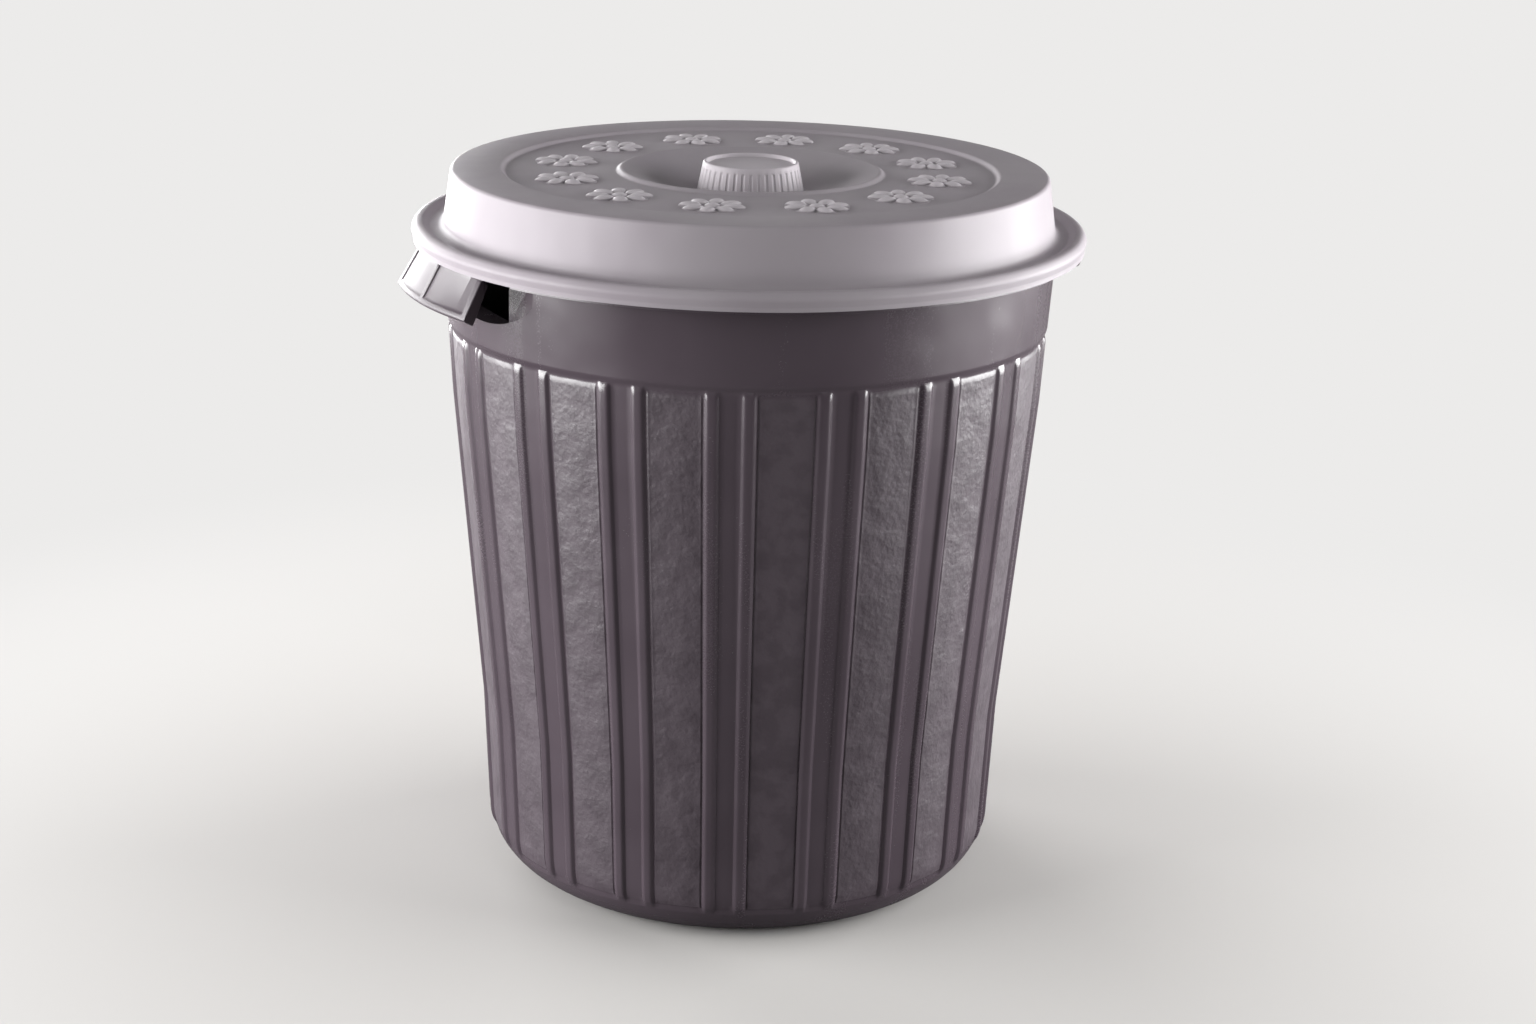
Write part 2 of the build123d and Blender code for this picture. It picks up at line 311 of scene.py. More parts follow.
def plasticMaterial(name, color, shade, roughness, specular, grained=None, petalled=None):
    # grained is the wall that has panels, petalled the flowers whose tops get a painted highlight, paler
    # than their ground
    look = plasticLook
    material = bpy.data.materials.new(name)
    material.use_nodes = True
    tree = material.node_tree
    shader = tree.nodes["Principled BSDF"]
    place = tree.nodes.new("ShaderNodeTexCoord").outputs["Object"]
    cloud = noiseOf(tree, place, look["cloudScale"], detail=3.0)
    speck = noiseOf(tree, place, look["speckScale"])
    ripple = noiseOf(tree, place, look["rippleScale"], detail=1.0)
    scuff = nodeOf(
        tree, "ShaderNodeTexNoise", Scale=look["scuffScale"], Detail=2.0, Distortion=look["scuffDistortion"],
    )
    stretch = nodeOf(tree, "ShaderNodeMapping", Scale=(1.0, 1.0, look["scuffStretch"]))
    tree.links.new(place, stretch.inputs["Vector"])
    tree.links.new(stretch.outputs["Vector"], scuff.inputs["Vector"])

    tone = rampOf(tree, cloud, *look["cloudSpan"])
    toneFactor, _, colorOut = colorMix(tree, color, shade)
    scuffed = rampOf(tree, scuff.outputs["Fac"], *look["scuffSpan"])
    rough = mathNode(tree, "MULTIPLY_ADD", speck, look["roughnessSpread"], roughness)
    rough = mathNode(tree, "MULTIPLY_ADD", scuffed, look["scuffRoughness"], rough)
    height = mathNode(tree, "MULTIPLY", ripple, look["rippleHeight"])
    height = mathNode(tree, "MULTIPLY_ADD", speck, look["speckHeight"], height)
    if grained:
        mask = panelMask(tree, place, grained)
        cells = nodeOf(tree, "ShaderNodeTexVoronoi", Scale=look["grainScale"])
        cells.feature = "SMOOTH_F1"
        tree.links.new(place, cells.inputs["Vector"])
        blotch = noiseOf(tree, place, look["blotchScale"], detail=4.0, roughness=0.55)
        relief = mathNode(tree, "MULTIPLY", cells.outputs["Distance"], look["grainHeight"])
        relief = mathNode(tree, "MULTIPLY_ADD", blotch, look["blotchHeight"], relief)
        height = mathNode(tree, "MULTIPLY_ADD", relief, mask, height)
        rough = mathNode(tree, "MULTIPLY_ADD", mask, look["grainRoughness"], rough)
        gripStart = grip["top"][0]
        onGrip = rampOf(tree, awayFromAxis(tree, place), gripStart, gripStart + grip["wall"])
        rough = mathNode(tree, "MULTIPLY_ADD", onGrip, look["gripRoughness"], rough)
        patches = rampOf(tree, blotch, *look["blotchSpan"], -look["mottle"], look["mottle"])
        tone = mathNode(tree, "ADD", tone, mathNode(tree, "MULTIPLY", patches, mask))
    if petalled:
        # painted highlight: the rosettes' raised tops are made paler than the ground
        highlightFactor, colors, highlightedColor = colorMix(tree, second=look["rosetteHighlightColor"])
        tree.links.new(rosetteHighlightMask(tree, place, petalled), highlightFactor)
        tree.links.new(colorOut, colors[0])
        colorOut = highlightedColor
    tree.links.new(tone, toneFactor)
    bump = nodeOf(tree, "ShaderNodeBump", Strength=1.0, Distance=1.0)
    tree.links.new(height, bump.inputs["Height"])
    tree.links.new(bump.outputs["Normal"], shader.inputs["Normal"])
    tree.links.new(colorOut, shader.inputs["Base Color"])
    tree.links.new(rough, shader.inputs["Roughness"])
    shader.inputs["IOR"].default_value = look["ior"]
    shader.inputs["Specular IOR Level"].default_value = specular
    return material


def panelMask(tree, place, wall):
    # 1 on the grained panels, 0 on the strips, the collar, the base band and the inside
    parts = tree.nodes.new("ShaderNodeSeparateXYZ")
    tree.links.new(place, parts.inputs["Vector"])
    level = parts.outputs["Z"]
    turn = mathNode(tree, "ARCTAN2", parts.outputs["Y"], parts.outputs["X"])
    period = 2 * math.pi / wall["stripCount"]
    ahead = mathNode(tree, "ADD", turn, period / 2 + 4 * math.pi)  # whole turns keep it above zero
    centered = mathNode(tree, "SUBTRACT", mathNode(tree, "MODULO", ahead, period), period / 2)
    edge = math.radians(wall["beadSpread"] + wall["beadHalf"])
    across = rampOf(
        tree, mathNode(tree, "ABSOLUTE", centered), edge, edge + math.radians(wall["grainSideFade"]),
    )
    low = rampOf(tree, level, wall["bandTop"], wall["bandTop"] + wall["grainLowFade"])
    fadeStart, fadeEnd = (wall["ledgeBottom"] - below for below in wall["grainHighFade"])
    high = rampOf(tree, level, fadeStart, fadeEnd, 1.0, 0.0)
    lower = alongLine(tree, level, *wall["outline"][3:5])
    upper = alongLine(tree, level, *wall["outline"][4:6])
    wallLine = mathNode(tree, "MAXIMUM", lower, upper)
    outward = mathNode(tree, "SUBTRACT", awayFromAxis(tree, place), wallLine)
    outside = mathNode(tree, "GREATER_THAN", outward, -wall["wall"] / 2)
    band = mathNode(tree, "MULTIPLY", mathNode(tree, "MULTIPLY", low, high), outside)
    return mathNode(tree, "MULTIPLY", across, band)


def rosetteHighlightMask(tree, place, petals):
    # 1 on the upper parts of the lid's raised flowers, where a painted highlight makes them paler than the
    # ground between them
    parts = tree.nodes.new("ShaderNodeSeparateXYZ")
    tree.links.new(place, parts.inputs["Vector"])
    offRing = mathNode(tree, "SUBTRACT", awayFromAxis(tree, place), petals["ringRadius"])
    rim = petals["rim"]
    near = rampOf(tree, mathNode(tree, "ABSOLUTE", offRing), rim, rim + petals["highlightFade"], 1.0, 0.0)
    foot = lidShape["channelFloor"] + petals["base"]
    high = rampOf(tree, parts.outputs["Z"], foot, foot + petals["height"] / 3)
    return mathNode(tree, "MULTIPLY", near, high)


def awayFromAxis(tree, place):
    flat = nodeOf(tree, "ShaderNodeVectorMath", operation="MULTIPLY")
    flat.inputs[1].default_value = (1, 1, 0)
    tree.links.new(place, flat.inputs[0])
    away = nodeOf(tree, "ShaderNodeVectorMath", operation="LENGTH")
    tree.links.new(flat.outputs[0], away.inputs[0])
    return away.outputs["Value"]


def alongLine(tree, height, low, high):
    # the distance from the axis of a slanting line at this height
    slope = (high[0] - low[0]) / (high[1] - low[1])
    return mathNode(tree, "MULTIPLY_ADD", height, slope, low[0] - slope * low[1])


# Bucket

bucketWall = {
    "wall": 0.0028,
    "stripCount": 18,
    "beadSpread": 3.3,  # degrees from a strip's middle to its beads
    "beadHalf": 1.45,  # degrees from a bead's middle to its foot
    "beadSteps": 12,
    "stripSteps": 4,
    "panelSteps": 5,
    "beadHeight": 0.0018,
    "beadCrown": 2.4,  # more makes the bead's top flatter and its sides steeper
    "beadEnd": 0.007,  # the height over which a bead dies away
    "endRings": (0.0024, 0.0038, 0.006),
    "bandTop": 0.022,
    "bandStep": 0.0008,
    "bandSlope": 0.0014,  # half the height over which the band steps out
    "baseRoundCenter": (0.1296, 0.036),
    "grainSideFade": 0.5,  # degrees
    "grainLowFade": 0.003,
    "grainHighFade": (0.006, 0.001),  # below the collar's ledge
    "ledgeBottom": 0.366,
    "rimUnder": 0.4222,
    "outline": [
        (0, 0.004, 0), (0.117, 0.004, 0.004), (0.121, 0, 0.004), (0.1656, 0, 0.036),
        (0.1705, 0.114, 0.05), (0.1886, 0.323, 0.05), (0.191, 0.366, 0.004), (0.193, 0.369, 0.004),
        (0.1964, 0.4222, 0.002), (0.2078, 0.4222, 0.002), (0.2078, 0.4172, 0),
    ],
}


def beadSpans():
    half = 180 / bucketWall["stripCount"]
    spread, foot = bucketWall["beadSpread"], bucketWall["beadHalf"]
    panel = (half - spread - foot, bucketWall["panelSteps"])
    bead = (2 * foot, bucketWall["beadSteps"])
    strip = (2 * (spread - foot), bucketWall["stripSteps"])
    return [panel, bead, strip, bead, panel]


def raiseBeads(bm):
    wall = bucketWall
    period = 360 / wall["stripCount"]
    bm.normal_update()
    for vert in bm.verts:
        z = vert.co.z
        if not wall["bandTop"] < z < wall["ledgeBottom"]:
            continue
        turn = math.degrees(math.atan2(vert.co.y, vert.co.x))
        fromStrip = abs((turn + period / 2) % period - period / 2)
        across = abs(fromStrip - wall["beadSpread"]) / wall["beadHalf"]
        if across >= 1:
            continue
        toEnd = min(z - wall["bandTop"], wall["ledgeBottom"] - z) / wall["beadEnd"]
        ending = math.sqrt(1 - (1 - toEnd) ** 2) if toEnd < 1 else 1
        crown = math.cos(math.pi / 2 * across ** wall["beadCrown"]) ** 2
        vert.co += vert.normal * wall["beadHeight"] * crown * ending


def widenBand(bm):
    # the smooth band round the foot stands a little proud of the wall
    centerR, centerZ = bucketWall["baseRoundCenter"]
    for vert in bm.verts:
        r = vert.co.x
        if vert.co.z < bucketWall["bandTop"] and r > centerR:
            away = Vector((r - centerR, 0, vert.co.z - centerZ)).normalized()
            vert.co += away * bucketWall["bandStep"]
            vert.co.z = max(vert.co.z, 0)


def buildShell():
    wall = bucketWall
    bm = bmesh.new()
    addLine(bm, wall["outline"])
    levels = [wall["bandTop"] - wall["bandSlope"], wall["bandTop"] + wall["bandSlope"]]
    levels += [wall["bandTop"] + ring for ring in wall["endRings"]]
    levels += [wall["ledgeBottom"] - ring for ring in wall["endRings"]]
    for level in levels:
        cutLine(bm, level)
    widenBand(bm)
    turnMesh(bm, -180 / wall["stripCount"])
    spinLine(bm, beadSpans())
    bm.normal_update()
    outward = sum(face.normal.dot(face.calc_center_median()) * face.calc_area() for face in bm.faces)
    if outward < 0:
        bmesh.ops.reverse_faces(bm, faces=bm.faces[:])
    raiseBeads(bm)
    inner = bmesh.new()
    addLine(inner, otherSide(wall["outline"], wall["wall"]) + [wall["outline"][-1]])
    turnMesh(inner, -180 / wall["stripCount"])
    spinLine(inner, beadSpans())
    joinMesh(bm, inner)
    repeatRound(bm, wall["stripCount"])
    closeMesh(bm)
    return makeObject(bm, "bucket_shell")


pocket = {
    "halfWidth": 0.076,
    "sill": 0.386,
    "cornerWidth": 0.054,
    "cornerHeight": 0.027,
    "cornerSteps": 16,
    "face": 0.1811,  # the flat back's distance from the axis
    "holeHalfWidth": 0.037,
    "reach": 0.2106,
    "hollowShort": 0.004,
    "coreSteps": 10,
}


def windowBlock(bm, nearX, farX, growth, top):
    # drawn with round corners and twice the height, then pressed to half of it
    press = pocket["cornerHeight"] / pocket["cornerWidth"]
    half, sill = pocket["halfWidth"] + growth, pocket["sill"] - growth
    corners = ((-half, top), (-half, sill), (half, sill), (half, top))
    verts = [bm.verts.new((nearX, y, z / press)) for y, z in corners]
    for pair in zip(verts, verts[1:] + verts[:1]):
        bm.edges.new(pair)
    bmesh.ops.bevel(
        bm, geom=verts[1:3], offset=pocket["cornerWidth"] + growth, offset_type="OFFSET",
        segments=pocket["cornerSteps"], profile=0.5, affect="VERTICES", material=-1,
    )
    loop = [edge for edge in bm.edges if not edge.link_faces]
    face = bmesh.ops.contextual_create(bm, geom=loop)["faces"][0]
    bmesh.ops.scale(bm, vec=(1, 1, press), verts=face.verts[:])
    pushed = bmesh.ops.extrude_face_region(bm, geom=[face])["geom"]
    movers = [item for item in pushed if isinstance(item, bmesh.types.BMVert)]
    bmesh.ops.translate(bm, vec=(farX - nearX, 0, 0), verts=movers)
    bmesh.ops.recalc_face_normals(bm, faces=bm.faces[:])


def pocketBlock():
    # the pocket's walls with its inside still full, cut off within the collar's own wall
    wall = bucketWall["wall"]
    bm = bmesh.new()
    windowBlock(bm, pocket["face"] - wall, pocket["reach"], wall, bucketWall["rimUnder"] + wall / 2)
    block = makeObject(bm, "pocket_block")
    core = bmesh.new()
    (lowRadius, lowLevel, _), (highRadius, highLevel, _) = bucketWall["outline"][7:9]
    low, high, floor = lowRadius - wall / 2, highRadius - wall / 2, bucketWall["ledgeBottom"]
    addLine(core, [
        (0, floor, 0), (low, floor, 0), (low, lowLevel, 0),
        (high, highLevel, 0), (high, highLevel + wall, 0), (0, highLevel + wall, 0),
    ])
    sectors = bucketWall["stripCount"]
    spinLine(core, [(360 / sectors, pocket["coreSteps"])])
    repeatRound(core, sectors)
    closeMesh(core)
    carve(block, makeObject(core, "collar_core"), "INTERSECT")
    return block


def boxObject(size, middle, name, degrees=0):
    bm = bmesh.new()
    bmesh.ops.create_cube(bm, size=1)
    bmesh.ops.scale(bm, vec=size, verts=bm.verts[:])
    bmesh.ops.translate(bm, vec=middle, verts=bm.verts[:])
    turnMesh(bm, degrees)
    return makeObject(bm, name)


def pocketHollow():
    # the room in the pocket, with the hand hole through its back
    bm = bmesh.new()
    windowBlock(bm, pocket["face"], pocket["reach"] - pocket["hollowShort"], 0, bucketWall["rimUnder"])
    hollow = makeObject(bm, "pocket_hollow")
    high = bucketWall["rimUnder"] - pocket["sill"]
    size = (4 * bucketWall["wall"], 2 * pocket["holeHalfWidth"], high)
    hole = boxObject(size, (pocket["face"], 0, pocket["sill"] + high / 2), "hand_hole")
    carve(hollow, hole, "UNION")
    return hollow


grip = {
    "halfAngle": 14.5,  # degrees, as the rib's and the cheek's angle are
    "steps": 56,
    "wall": 0.0028,
    "top": (0.2098, 0.4172),  # distance from the axis and height, at the flap's middle line
    "end": (0.2222, 0.3962),
    # shares run down the flap, 0 at its top and 1 at its end
    "rootShare": -0.12,
    "neckShare": 0.9,
    "neckRounding": 0.004,
    "edgeShares": (0.95, 1.1),
    "edgeHalf": 0.0022,
    "edgeRounding": 0.002,
    "sideSteps": 6,
    "ribAngle": 1.07,
    "ribShares": (0.02, 0.97),
    "ribHeight": 0.0008,
    "ribRounding": 0.00075,
    "cheekAngle": 1.3,
    "cheekProud": 0.01,  # degrees past the flap's end
    "cheekShares": (0.02, 1.09),
    "cheekDepths": (0.0055, 0.0075),
    "cheekRounding": 0.0024,
}


def flapPoint(share, inward, rounding=0.0):
    # inward is square to the flap's middle line, towards the bucket
    top, end = Vector(grip["top"]), Vector(grip["end"])
    down = (end - top).normalized()
    point = top + (end - top) * share - Vector((-down.y, down.x)) * inward
    return (point.x, point.y, rounding)


def spinSection(corners, start, degrees, steps, name):
    # a closed section swept round Z into a solid, from the start in degrees
    bm = bmesh.new()
    addLine(bm, corners + [corners[0]])
    bmesh.ops.remove_doubles(bm, verts=bm.verts[:], dist=finePoint)
    bmesh.ops.contextual_create(bm, geom=bm.edges[:])
    turnMesh(bm, start)
    face = bm.faces[:][0]
    spinGeom(bm, [face] + face.edges[:] + face.verts[:], degrees, steps)
    bmesh.ops.remove_doubles(bm, verts=bm.verts[:], dist=finePoint)
    bmesh.ops.recalc_face_normals(bm, faces=bm.faces[:])
    return makeObject(bm, name)


def buildGrip():
    half, wall, edge = grip["halfAngle"], grip["wall"] / 2, grip["edgeHalf"]
    root, neck, neckRounding = grip["rootShare"], grip["neckShare"], grip["neckRounding"]
    (edgeTop, edgeEnd), edgeRounding = grip["edgeShares"], grip["edgeRounding"]
    outline = [
        flapPoint(root, -wall), flapPoint(neck, -wall, neckRounding),
        flapPoint(edgeTop, -edge, edgeRounding), flapPoint(edgeEnd, -edge, edgeRounding),
        flapPoint(edgeEnd, edge, edgeRounding), flapPoint(edgeTop, edge, edgeRounding),
        flapPoint(neck, wall, neckRounding), flapPoint(root, wall),
    ]
    flap = spinSection(outline, -half, 2 * half, grip["steps"], "grip_flap")
    lift = -wall - grip["ribHeight"]
    top, end = grip["ribShares"]
    rib = [flapPoint(top, 0), flapPoint(top, lift), flapPoint(end, lift), flapPoint(end, 0)]
    rib = spinSection(rib, -grip["ribAngle"] / 2, grip["ribAngle"], grip["sideSteps"], "grip_rib")
    carve(flap, softenEdges(rib, grip["ribRounding"]), "UNION")
    (top, end), (topDepth, endDepth) = grip["cheekShares"], grip["cheekDepths"]
    corners = [
        flapPoint(top, lift), flapPoint(end, lift), flapPoint(end, endDepth - wall),
        flapPoint(top, topDepth - wall),
    ]
    proud = grip["cheekProud"]
    for start in (-half - proud, half - grip["cheekAngle"] + proud):
        cheek = spinSection(corners, start, grip["cheekAngle"], grip["sideSteps"], "grip_cheek")
        carve(flap, softenEdges(cheek, grip["cheekRounding"]), "UNION")
    return flap


def bothSides(obj):
    # adds the same piece turned half way round
    bm = bmesh.new()
    bm.from_mesh(obj.data)
    copied = bmesh.ops.duplicate(bm, geom=bm.verts[:] + bm.edges[:] + bm.faces[:])["geom"]
    turnMesh(bm, 180, [item for item in copied if isinstance(item, bmesh.types.BMVert)])
    bm.to_mesh(obj.data)
    bm.free()
    return obj


def buildBucket():
    shell = buildShell()
    print("shell spun", len(shell.data.polygons))
    carve(shell, bothSides(pocketBlock()), "UNION")
    carve(shell, bothSides(pocketHollow()), "DIFFERENCE")
    print("pockets cut", len(shell.data.polygons))
    carve(shell, bothSides(buildGrip()), "UNION")
    print("grips joined", len(shell.data.polygons))
    return shell


# Lid

lidShape = {
    "wall": 0.0024,
    "stepsPerSector": 30,
    "channelFloor": 0.4613,
    "outline": [
        (0.0073, 0.4488, 0), (0.0373, 0.4488, 0.003), (0.0825, 0.4638, 0.0032), (0.0855, 0.4613, 0.003),
        (0.156, 0.4613, 0.003), (0.1585, 0.4638, 0.003), (0.19, 0.4638, 0.0026), (0.1952, 0.4277, 0.004),
        (0.2035, 0.4277, 0.0032), (0.208, 0.4306, 0.0032), (0.2124, 0.4306, 0.0032),
        (0.2152, 0.4263, 0.0032), (0.2138, 0.4218, 0.0032), (0.2138, 0.4191, 0),
    ],
}

rosette = {
    "count": 12,
    "ringRadius": 0.121,
    "turn": -8,  # degrees from +X to the first rosette
    "petals": 8,
    "petalRing": 0.0133,
    "petalLength": 0.0135,
    "petalWidth": 0.0092,
    "buttonRadius": 0.0047,
    "height": 0.0019,
    "base": 0.0002,
    "rim": 0.0204,
    "notch": 0.16,  # how far the rim draws in between two petals, as a share
    "sunk": 0.0008,
    # the width over which the painted highlight fades out at the flowers' rim
    "highlightFade": 0.001,
    "sides": 96,
    "rings": 18,
}


def toPetal(turn):
    # the turn from the middle of the nearest petal
    share = 2 * math.pi / rosette["petals"]
    return (turn + share / 2) % share - share / 2


def petalHeight(radius, turn):
    # the top of the domed petal or button at this place, or else the flat ground
    shape = rosette
    fromPetal = toPetal(turn)
    along = (radius * math.cos(fromPetal) - shape["petalRing"]) / shape["petalLength"] * 2
    across = radius * math.sin(fromPetal) / shape["petalWidth"] * 2
    inside = max(1 - along ** 2 - across ** 2, 1 - (radius / shape["buttonRadius"]) ** 2, 0)
    return shape["base"] + shape["height"] * math.sqrt(inside)


def rosetteRim(turn):
    fullness = math.sqrt(abs(math.cos(toPetal(turn) * rosette["petals"] / 2)))
    return rosette["rim"] * (1 - rosette["notch"] * (1 - fullness))


def oneRosette():
    # a disc sunk in the channel's floor, its top inset into rings that are lifted into petals
    shape = rosette
    bm = bmesh.new()
    bmesh.ops.create_circle(
        bm, cap_ends=True, cap_tris=False, segments=shape["sides"], radius=shape["rim"],
    )
    lifted = bmesh.ops.extrude_face_region(bm, geom=bm.faces[:])["geom"]
    top = [item for item in lifted if isinstance(item, bmesh.types.BMFace)]
    bottom = [vert for vert in bm.verts if vert not in lifted]
    bmesh.ops.translate(bm, vec=(0, 0, -shape["sunk"]), verts=bottom)
    ring = shape["rim"] / (shape["rings"] + 0.5)  # the last half ring is the middle face
    for _ in range(shape["rings"]):
        bmesh.ops.inset_region(
            bm, faces=top, thickness=ring, depth=0, use_even_offset=False, use_boundary=True,
        )
    for vert in bm.verts:
        turn = math.atan2(vert.co.y, vert.co.x)
        narrowing = rosetteRim(turn) / shape["rim"]
        vert.co.x *= narrowing
        vert.co.y *= narrowing
        if vert.co.z > -finePoint:
            vert.co.z = petalHeight(Vector(vert.co[:2]).length, turn)
    mesh = bpy.data.meshes.new("rosette")
    bm.to_mesh(mesh)
    bm.free()
    return mesh


def buildRosettes():
    single = oneRosette()
    bm = bmesh.new()
    for count in range(rosette["count"]):
        bm.from_mesh(single)
        bm.verts.ensure_lookup_table()
        added = bm.verts[-len(single.vertices):]
        place = Matrix.Translation((rosette["ringRadius"], 0, lidShape["channelFloor"]))
        degrees = rosette["turn"] + 360 * count / rosette["count"]
        turn = Matrix.Rotation(math.radians(degrees), 4, "Z")
        bmesh.ops.transform(bm, matrix=turn @ place, verts=added)
    bpy.data.meshes.remove(single)
    bmesh.ops.recalc_face_normals(bm, faces=bm.faces[:])
    return makeObject(bm, "rosettes")


def buildLid():
    shape = lidShape
    bm = bmesh.new()
    outline = shape["outline"]
    under = otherSide(outline, -shape["wall"])
    under[0] = (outline[0][0], under[0][1], 0)  # the centre hole's wall is upright
    addLine(bm, outline + under[::-1] + [outline[0]])
    bmesh.ops.remove_doubles(bm, verts=bm.verts[:], dist=finePoint)
    sectors = rosette["count"]
    spinLine(bm, [(360 / sectors, shape["stepsPerSector"])])
    repeatRound(bm, sectors)
    closeMesh(bm)
    lid = makeObject(bm, "lid_cover")
    carve(lid, buildRosettes(), "UNION")
    print("lid made", len(lid.data.polygons))
    return lid


# Knob

knobShape = {
    "flutes": 40,
    "stepsPerFlute": 8,
    "fluteDepth": 0.0006,
    "fluteCurve": 0.8,  # less makes a flute's bottom wider
    "fluteTop": 0.4647,
    "fluteFade": 0.0008,  # the height over which a flute dies away
    "fadeRings": (0, 0.3, 1, 2),
    "sideReach": 0.0003,
    "slotWidth": 0.0024,
    "slotLow": 0.4401,
    "slotHigh": 0.4538,
    "slotReach": 0.0164,
    "slotOverrun": 0.001,
    "section": [
        (0.0343, 0.4488, 0), (0.0302, 0.4683, 0.0014), (0.0286, 0.4683, 0.0006), (0.0274, 0.4659, 0.0008),
        (0, 0.4659, 0),
    ],
    "inside": [
        (0, 0.4635, 0), (0.0048, 0.4635, 0), (0.0048, 0.4401, 0), (0.0062, 0.4401, 0.0004),
        (0.0082, 0.4461, 0.0004), (0.007, 0.4461, 0), (0.007, 0.4635, 0.0005), (0.0262, 0.4635, 0.001),
        (0.0319, 0.4488, 0), (0.0343, 0.4488, 0),
    ],
}


def cutFlutes(bm):
    # hollows down the knob's side, which fade out under its smooth upper band
    shape = knobShape
    (footRadius, footLevel, _), (topRadius, topLevel, _) = shape["section"][:2]
    for vert in bm.verts:
        radius = Vector(vert.co[:2]).length
        side = footRadius + (topRadius - footRadius) * (vert.co.z - footLevel) / (topLevel - footLevel)
        if abs(radius - side) > shape["sideReach"] or vert.co.z > shape["fluteTop"]:
            continue
        turn = math.atan2(vert.co.y, vert.co.x)
        hollow = max(math.cos(shape["flutes"] * turn), 0) ** shape["fluteCurve"]
        fade = min((shape["fluteTop"] - vert.co.z) / shape["fluteFade"], 1)
        slimmer = 1 - shape["fluteDepth"] * hollow * math.sqrt(fade) / radius
        vert.co.x *= slimmer
        vert.co.y *= slimmer


def buildKnob():
    shape = knobShape
    outer = bmesh.new()
    addLine(outer, shape["section"])
    for share in shape["fadeRings"]:
        cutLine(outer, shape["fluteTop"] - share * shape["fluteFade"])
    sector = [(360 / shape["flutes"], shape["stepsPerFlute"])]
    spinLine(outer, sector)
    inside = bmesh.new()
    addLine(inside, shape["inside"])
    spinLine(inside, sector)
    joinMesh(outer, inside)
    cutFlutes(outer)
    repeatRound(outer, shape["flutes"])
    closeMesh(outer)
    knob = makeObject(outer, "knob_cap")
    high = shape["slotHigh"] - shape["slotLow"] + shape["slotOverrun"]
    size = (shape["slotReach"], shape["slotWidth"], high)
    for turn in (0, 90):
        slot = boxObject(size, (0, 0, shape["slotHigh"] - high / 2), "stem_slot", turn)
        carve(knob, slot, "DIFFERENCE")
    print("knob made", len(knob.data.polygons))
    return knob


# Floor, lights and camera

lighting = {
    "ambient": 0.09,
    "floorColor": srgb(192, 190, 188),
    "floorBounce": srgb(108, 104, 106),
    "backdropColor": srgb(236, 235, 234),
    "floorRoughness": 0.8,
    "floorRadius": 14,
    "floorSides": 96,
    "floorNear": 0.25,  # the distances between which the floor turns into the backdrop
    "floorFar": 0.95,
    "aim": (0, 0, 0.25),
    # name, turn from the camera in degrees, elevation, distance, width, height, watts
    "lamps": [
        ("left_softbox", -80, 8, 1.9, 2.0, 1.1, 92),
        ("back_left_softbox", -147, 6, 2.0, 1.35, 0.9, 55),
        ("right_softbox", 96, 8, 1.9, 2.2, 1.1, 100),
        ("front_softbox", 15, 48, 2.1, 0.9, 0.9, 4),
        ("top_softbox", 180, 60, 2.2, 1.6, 1.2, 4),
    ],
}


def floorMaterial():
    # near the bucket it takes light and shadow; far out it is the pale backdrop's own colour
    material = bpy.data.materials.new("pale_floor")
    material.use_nodes = True
    tree = material.node_tree
    shader = tree.nodes["Principled BSDF"]
    shader.inputs["Roughness"].default_value = lighting["floorRoughness"]
    shader.inputs["Specular IOR Level"].default_value = 0.0
    backdrop = nodeOf(tree, "ShaderNodeEmission", Color=lighting["backdropColor"], Strength=1.0)
    path = tree.nodes.new("ShaderNodeLightPath")
    # the bucket sees the darker of the two
    factor, _, paint = colorMix(tree, lighting["floorBounce"], lighting["floorColor"])
    tree.links.new(path.outputs["Is Camera Ray"], factor)
    tree.links.new(paint, shader.inputs["Base Color"])
    place = tree.nodes.new("ShaderNodeTexCoord").outputs["Object"]
    away = nodeOf(tree, "ShaderNodeVectorMath", operation="LENGTH")
    tree.links.new(place, away.inputs[0])
    far = rampOf(tree, away.outputs["Value"], lighting["floorNear"], lighting["floorFar"])
    seen = mathNode(tree, "MULTIPLY", far, path.outputs["Is Camera Ray"])
    mix = tree.nodes.new("ShaderNodeMixShader")
    tree.links.new(seen, mix.inputs[0])
    tree.links.new(shader.outputs[0], mix.inputs[1])
    tree.links.new(backdrop.outputs[0], mix.inputs[2])
    tree.links.new(mix.outputs[0], tree.nodes["Material Output"].inputs["Surface"])
    return material


def buildStage():
    bm = bmesh.new()
    bmesh.ops.create_circle(
        bm, cap_ends=True, cap_tris=False, segments=lighting["floorSides"], radius=lighting["floorRadius"],
    )
    floor = makeObject(bm, "floor")
    floor.data.materials.append(floorMaterial())
    world = bpy.data.worlds.new("studio")
    bpy.context.scene.world = world
    world.use_nodes = True
    tree = world.node_tree
    background = tree.nodes["Background"]
    path = tree.nodes.new("ShaderNodeLightPath")
    shown = mathNode(tree, "MAXIMUM", path.outputs["Is Camera Ray"], path.outputs["Is Transmission Ray"])
    background.inputs["Color"].default_value = lighting["backdropColor"]
    strength = mathNode(tree, "MULTIPLY_ADD", shown, 1 - lighting["ambient"], lighting["ambient"])
    tree.links.new(strength, background.inputs["Strength"])


camera = {
    "focalPixels": 2731.8,
    "imageWidth": 1536,
    "sensor": 36.0,
    "clip": (0.05, 60),
    "turn": -27.3,
    "distance": 1.7251,
    "height": 0.7706,
    "pitch": 17.26,
    "yaw": 0.53,
    "roll": 1.31,
}


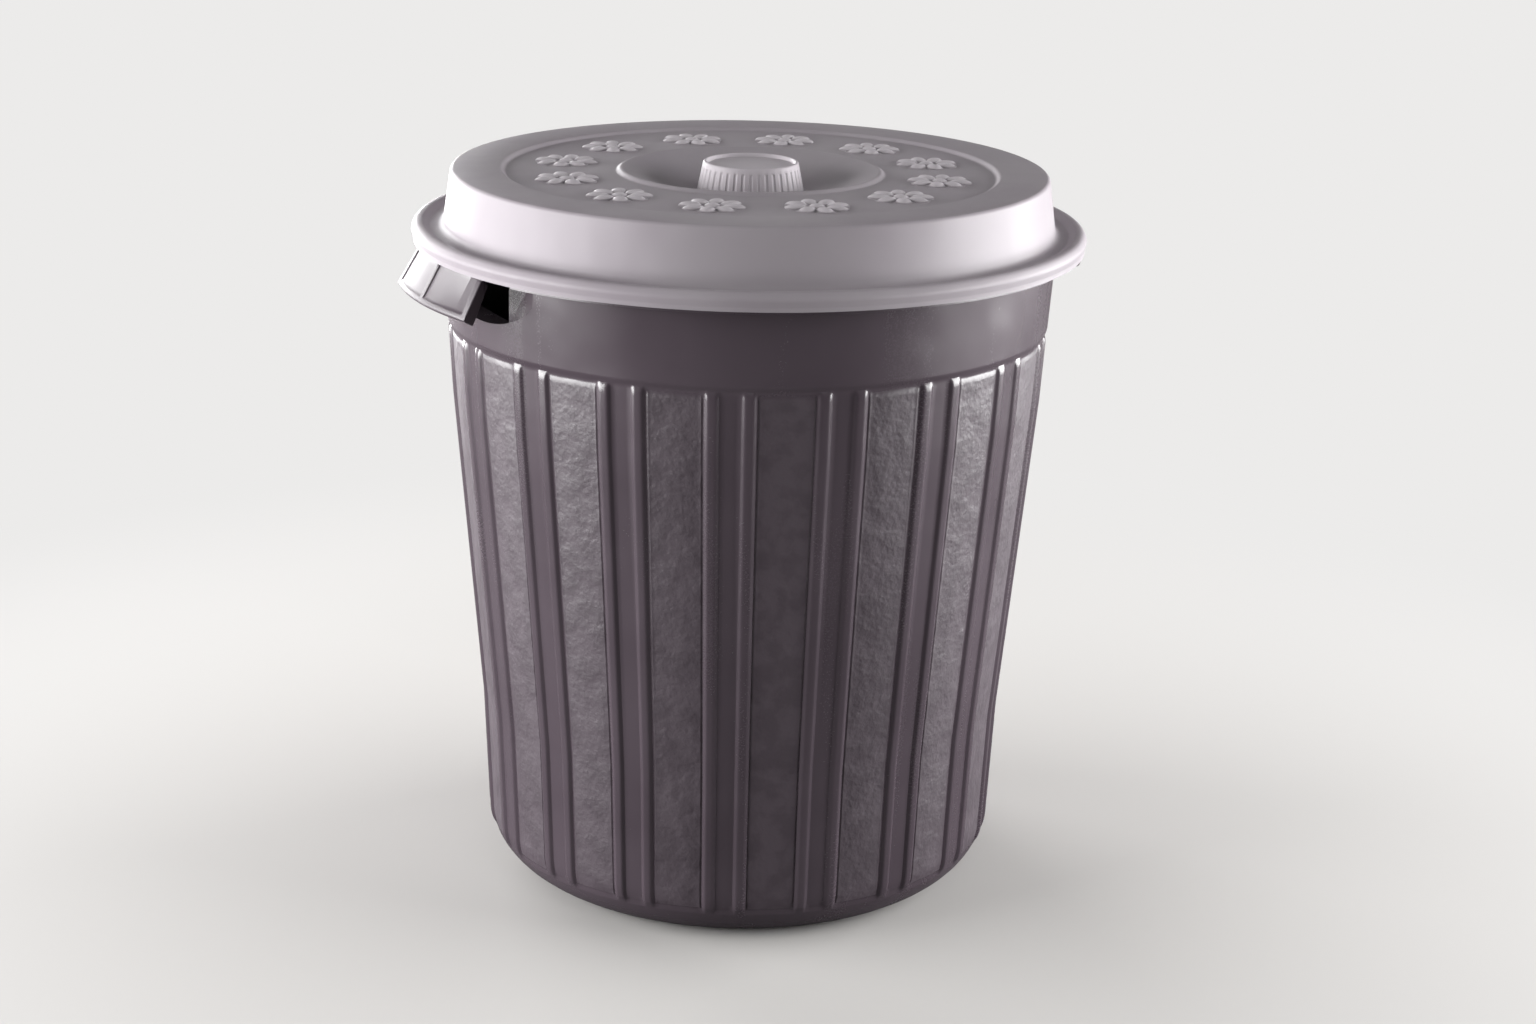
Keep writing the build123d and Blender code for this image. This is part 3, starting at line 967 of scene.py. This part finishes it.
def addLamps():
    target = Vector(lighting["aim"])
    for name, turn, elevation, distance, width, height, watts in lighting["lamps"]:
        data = bpy.data.lights.new(name, "AREA")
        data.shape = "RECTANGLE"
        data.size, data.size_y = width, height
        data.energy = watts
        lamp = bpy.data.objects.new(name, data)
        bpy.context.scene.collection.objects.link(lamp)
        around, above = math.radians(camera["turn"] + turn), math.radians(elevation)
        flat = math.cos(above)
        away = Vector((math.sin(around) * flat, -math.cos(around) * flat, math.sin(above)))
        lamp.location = target + away * distance
        lamp.rotation_euler = (-away).to_track_quat("-Z", "Y").to_euler()


def addCamera():
    data = bpy.data.cameras.new("camera")
    data.sensor_width = camera["sensor"]
    data.lens = camera["focalPixels"] / camera["imageWidth"] * camera["sensor"]
    data.clip_start, data.clip_end = camera["clip"]
    view = bpy.data.objects.new("camera", data)
    bpy.context.scene.collection.objects.link(view)
    turn = math.radians(camera["turn"])
    view.location = (
        camera["distance"] * math.sin(turn), -camera["distance"] * math.cos(turn), camera["height"],
    )
    heading = Matrix.Rotation(turn - math.radians(camera["yaw"]), 4, "Z")
    tilt = Matrix.Rotation(math.radians(90 - camera["pitch"]), 4, "X")
    roll = Matrix.Rotation(math.radians(camera["roll"]), 4, "Z")
    view.rotation_euler = (heading @ tilt @ roll).to_euler()
    bpy.context.scene.camera = view
    bpy.context.scene.view_settings.view_transform = "Standard"


buildStage()
addLamps()
addCamera()
print("stage set")

look = plasticLook
lidGloss = (look["lidRoughness"], look["lidSpecular"])
bucketGloss = (look["bucketRoughness"], look["bucketSpecular"])
lidPlastic = plasticMaterial("lid_plastic", look["lidColor"], look["lidShade"], *lidGloss, petalled=rosette)
# the knob's material is the lid's plastic painted lighter, standing in for the light it catches
knobLitPlastic = plasticMaterial("knob_plastic", look["knobLitColor"], look["knobLitShade"], *lidGloss)
bucketPlastic = plasticMaterial(
    "bucket_plastic", look["bucketColor"], look["bucketShade"], *bucketGloss, grained=bucketWall,
)
bucket = buildBucket()
finishPiece(bucket, bucketPlastic, "bucket_body", "bucket")
coneNormals(bucket, *bucketWall["outline"][7:9])
finishPiece(buildLid(), lidPlastic, "lid_body", "lid")
finishPiece(buildKnob(), knobLitPlastic, "lid_body", "lid_knob")
print("bucket dressed")
